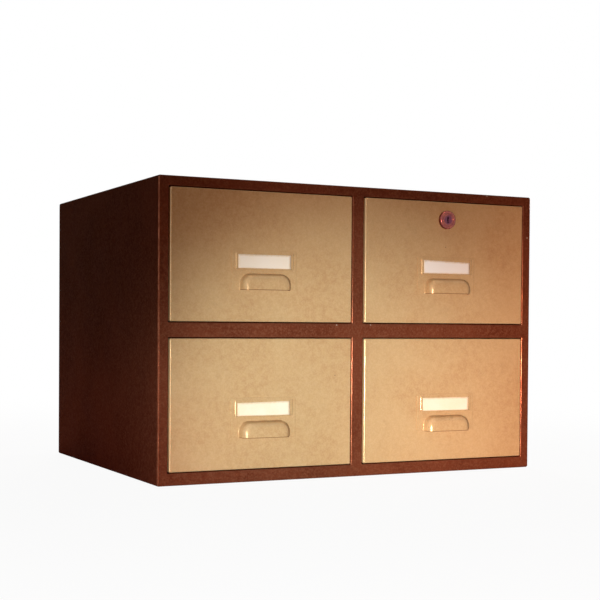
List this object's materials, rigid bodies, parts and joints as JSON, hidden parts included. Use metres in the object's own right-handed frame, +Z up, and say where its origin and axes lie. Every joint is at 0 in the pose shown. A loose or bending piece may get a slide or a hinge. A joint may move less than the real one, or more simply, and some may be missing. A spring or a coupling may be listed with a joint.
{
  "type": "card index cabinet",
  "caption": "Desktop steel cabinet for index cards: tiers of drawers on roller runners behind a flush front frame, with pressed pulls, label holders, follower plates and a cam lock.",
  "frame": {"origin": "bottom centre of the whole cabinet's box, on the surface it stands on", "axes": "+X right along the front, front faces -Y, +Z up"},
  "size_m": [0.496, 0.4064, 0.34],
  "materials": {
    "case_enamel": "semi-gloss stoved enamel, chocolate brown",
    "front_enamel": "semi-gloss stoved enamel, tan cream",
    "tray_enamel": "thin satin enamel, tan cream",
    "zinc_steel": "dull zinc plate",
    "nylon": "natural nylon",
    "label_paper": "plain card, bare",
    "lock_copper": "polished copper lacquer"
  },
  "bodies": {
    "root": {"case_left_side": "case_enamel", "case_right_side": "case_enamel", "case_top": "case_enamel", "case_base": "case_enamel", "case_back": "case_enamel", "middle_rail": "case_enamel", "centre_posts": "case_enamel", "centre_partition": "case_enamel", "side_uprights": "case_enamel", "rail_rivets": "zinc_steel", "front_roller_pins": "zinc_steel", "case_rails_bottom_left": "zinc_steel", "case_rails_bottom_right": "zinc_steel", "case_rails_top_left": "zinc_steel", "case_rails_top_right": "zinc_steel"},
    "drawer_bottom_left": {"drawer_front_bottom_left": "front_enamel", "drawer_tray_bottom_left": "tray_enamel", "drawer_rails_bottom_left": "zinc_steel", "rear_roller_pins_bottom_left": "zinc_steel", "drawer_pull_bottom_left": "front_enamel", "label_holder_bottom_left": "front_enamel", "label_card_bottom_left": "label_paper"},
    "front_rollers_bottom_left": {"front_rollers_bottom_left": "nylon"},
    "rear_rollers_bottom_left": {"rear_rollers_bottom_left": "nylon"},
    "follower_bottom_left": {"follower_plate_bottom_left": "zinc_steel"},
    "drawer_bottom_right": {"drawer_front_bottom_right": "front_enamel", "drawer_tray_bottom_right": "tray_enamel", "drawer_rails_bottom_right": "zinc_steel", "rear_roller_pins_bottom_right": "zinc_steel", "drawer_pull_bottom_right": "front_enamel", "label_holder_bottom_right": "front_enamel", "label_card_bottom_right": "label_paper"},
    "front_rollers_bottom_right": {"front_rollers_bottom_right": "nylon"},
    "rear_rollers_bottom_right": {"rear_rollers_bottom_right": "nylon"},
    "follower_bottom_right": {"follower_plate_bottom_right": "zinc_steel"},
    "drawer_top_left": {"drawer_front_top_left": "front_enamel", "drawer_tray_top_left": "tray_enamel", "drawer_rails_top_left": "zinc_steel", "rear_roller_pins_top_left": "zinc_steel", "drawer_pull_top_left": "front_enamel", "label_holder_top_left": "front_enamel", "label_card_top_left": "label_paper"},
    "front_rollers_top_left": {"front_rollers_top_left": "nylon"},
    "rear_rollers_top_left": {"rear_rollers_top_left": "nylon"},
    "follower_top_left": {"follower_plate_top_left": "zinc_steel"},
    "drawer_top_right": {"drawer_front_top_right": "front_enamel", "drawer_tray_top_right": "tray_enamel", "drawer_rails_top_right": "zinc_steel", "rear_roller_pins_top_right": "zinc_steel", "drawer_pull_top_right": "front_enamel", "label_holder_top_right": "front_enamel", "label_card_top_right": "label_paper", "lock_body": "lock_copper", "lock_nut": "zinc_steel"},
    "front_rollers_top_right": {"front_rollers_top_right": "nylon"},
    "rear_rollers_top_right": {"rear_rollers_top_right": "nylon"},
    "follower_top_right": {"follower_plate_top_right": "zinc_steel"},
    "lock_plug": {"lock_plug": "lock_copper", "lock_cam": "zinc_steel", "lock_cam_screw": "zinc_steel"}
  },
  "joints": [
    {"name": "drawer_slide_bottom_left", "type": "slide", "parent": "root", "child": "drawer_bottom_left", "axis": [0, -1, 0], "range_m": [0, 0.32]},
    {"name": "follower_slide_bottom_left", "type": "slide", "parent": "drawer_bottom_left", "child": "follower_bottom_left", "axis": [0, -1, 0], "range_m": [0, 0.277]},
    {"name": "front_roller_turn_bottom_left", "type": "hinge", "parent": "root", "child": "front_rollers_bottom_left", "pos_m": [-0.1217, -0.16085, 0.04], "axis": [1, 0, 0], "continuous": true},
    {"name": "rear_roller_turn_bottom_left", "type": "hinge", "parent": "drawer_bottom_left", "child": "rear_rollers_bottom_left", "pos_m": [-0.1217, 0.17715, 0.0398], "axis": [1, 0, 0], "continuous": true},
    {"name": "drawer_slide_bottom_right", "type": "slide", "parent": "root", "child": "drawer_bottom_right", "axis": [0, -1, 0], "range_m": [0, 0.32]},
    {"name": "follower_slide_bottom_right", "type": "slide", "parent": "drawer_bottom_right", "child": "follower_bottom_right", "axis": [0, -1, 0], "range_m": [0, 0.277]},
    {"name": "front_roller_turn_bottom_right", "type": "hinge", "parent": "root", "child": "front_rollers_bottom_right", "pos_m": [0.1217, -0.16085, 0.04], "axis": [1, 0, 0], "continuous": true},
    {"name": "rear_roller_turn_bottom_right", "type": "hinge", "parent": "drawer_bottom_right", "child": "rear_rollers_bottom_right", "pos_m": [0.1217, 0.17715, 0.0398], "axis": [1, 0, 0], "continuous": true},
    {"name": "drawer_slide_top_left", "type": "slide", "parent": "root", "child": "drawer_top_left", "axis": [0, -1, 0], "range_m": [0, 0.32]},
    {"name": "follower_slide_top_left", "type": "slide", "parent": "drawer_top_left", "child": "follower_top_left", "axis": [0, -1, 0], "range_m": [0, 0.277]},
    {"name": "front_roller_turn_top_left", "type": "hinge", "parent": "root", "child": "front_rollers_top_left", "pos_m": [-0.1217, -0.16085, 0.20575], "axis": [1, 0, 0], "continuous": true},
    {"name": "rear_roller_turn_top_left", "type": "hinge", "parent": "drawer_top_left", "child": "rear_rollers_top_left", "pos_m": [-0.1217, 0.17715, 0.20555], "axis": [1, 0, 0], "continuous": true},
    {"name": "drawer_slide_top_right", "type": "slide", "parent": "root", "child": "drawer_top_right", "axis": [0, -1, 0], "range_m": [0, 0.32]},
    {"name": "follower_slide_top_right", "type": "slide", "parent": "drawer_top_right", "child": "follower_top_right", "axis": [0, -1, 0], "range_m": [0, 0.277]},
    {"name": "front_roller_turn_top_right", "type": "hinge", "parent": "root", "child": "front_rollers_top_right", "pos_m": [0.1217, -0.16085, 0.20575], "axis": [1, 0, 0], "continuous": true},
    {"name": "rear_roller_turn_top_right", "type": "hinge", "parent": "drawer_top_right", "child": "rear_rollers_top_right", "pos_m": [0.1217, 0.17715, 0.20555], "axis": [1, 0, 0], "continuous": true},
    {"name": "lock_turn", "type": "hinge", "parent": "drawer_top_right", "child": "lock_plug", "pos_m": [0.1217, -0.17405, 0.306], "axis": [0, 1, 0], "range_deg": [0, 90]}
  ],
  "couplings": [
    {"joint": "front_roller_turn_bottom_left", "follows": "drawer_slide_bottom_left", "rad_per_m": 117.65},
    {"joint": "rear_roller_turn_bottom_left", "follows": "drawer_slide_bottom_left", "rad_per_m": 117.65},
    {"joint": "front_roller_turn_bottom_right", "follows": "drawer_slide_bottom_right", "rad_per_m": 117.65},
    {"joint": "rear_roller_turn_bottom_right", "follows": "drawer_slide_bottom_right", "rad_per_m": 117.65},
    {"joint": "front_roller_turn_top_left", "follows": "drawer_slide_top_left", "rad_per_m": 117.65},
    {"joint": "rear_roller_turn_top_left", "follows": "drawer_slide_top_left", "rad_per_m": 117.65},
    {"joint": "front_roller_turn_top_right", "follows": "drawer_slide_top_right", "rad_per_m": 117.65},
    {"joint": "rear_roller_turn_top_right", "follows": "drawer_slide_top_right", "rad_per_m": 117.65}
  ]
}
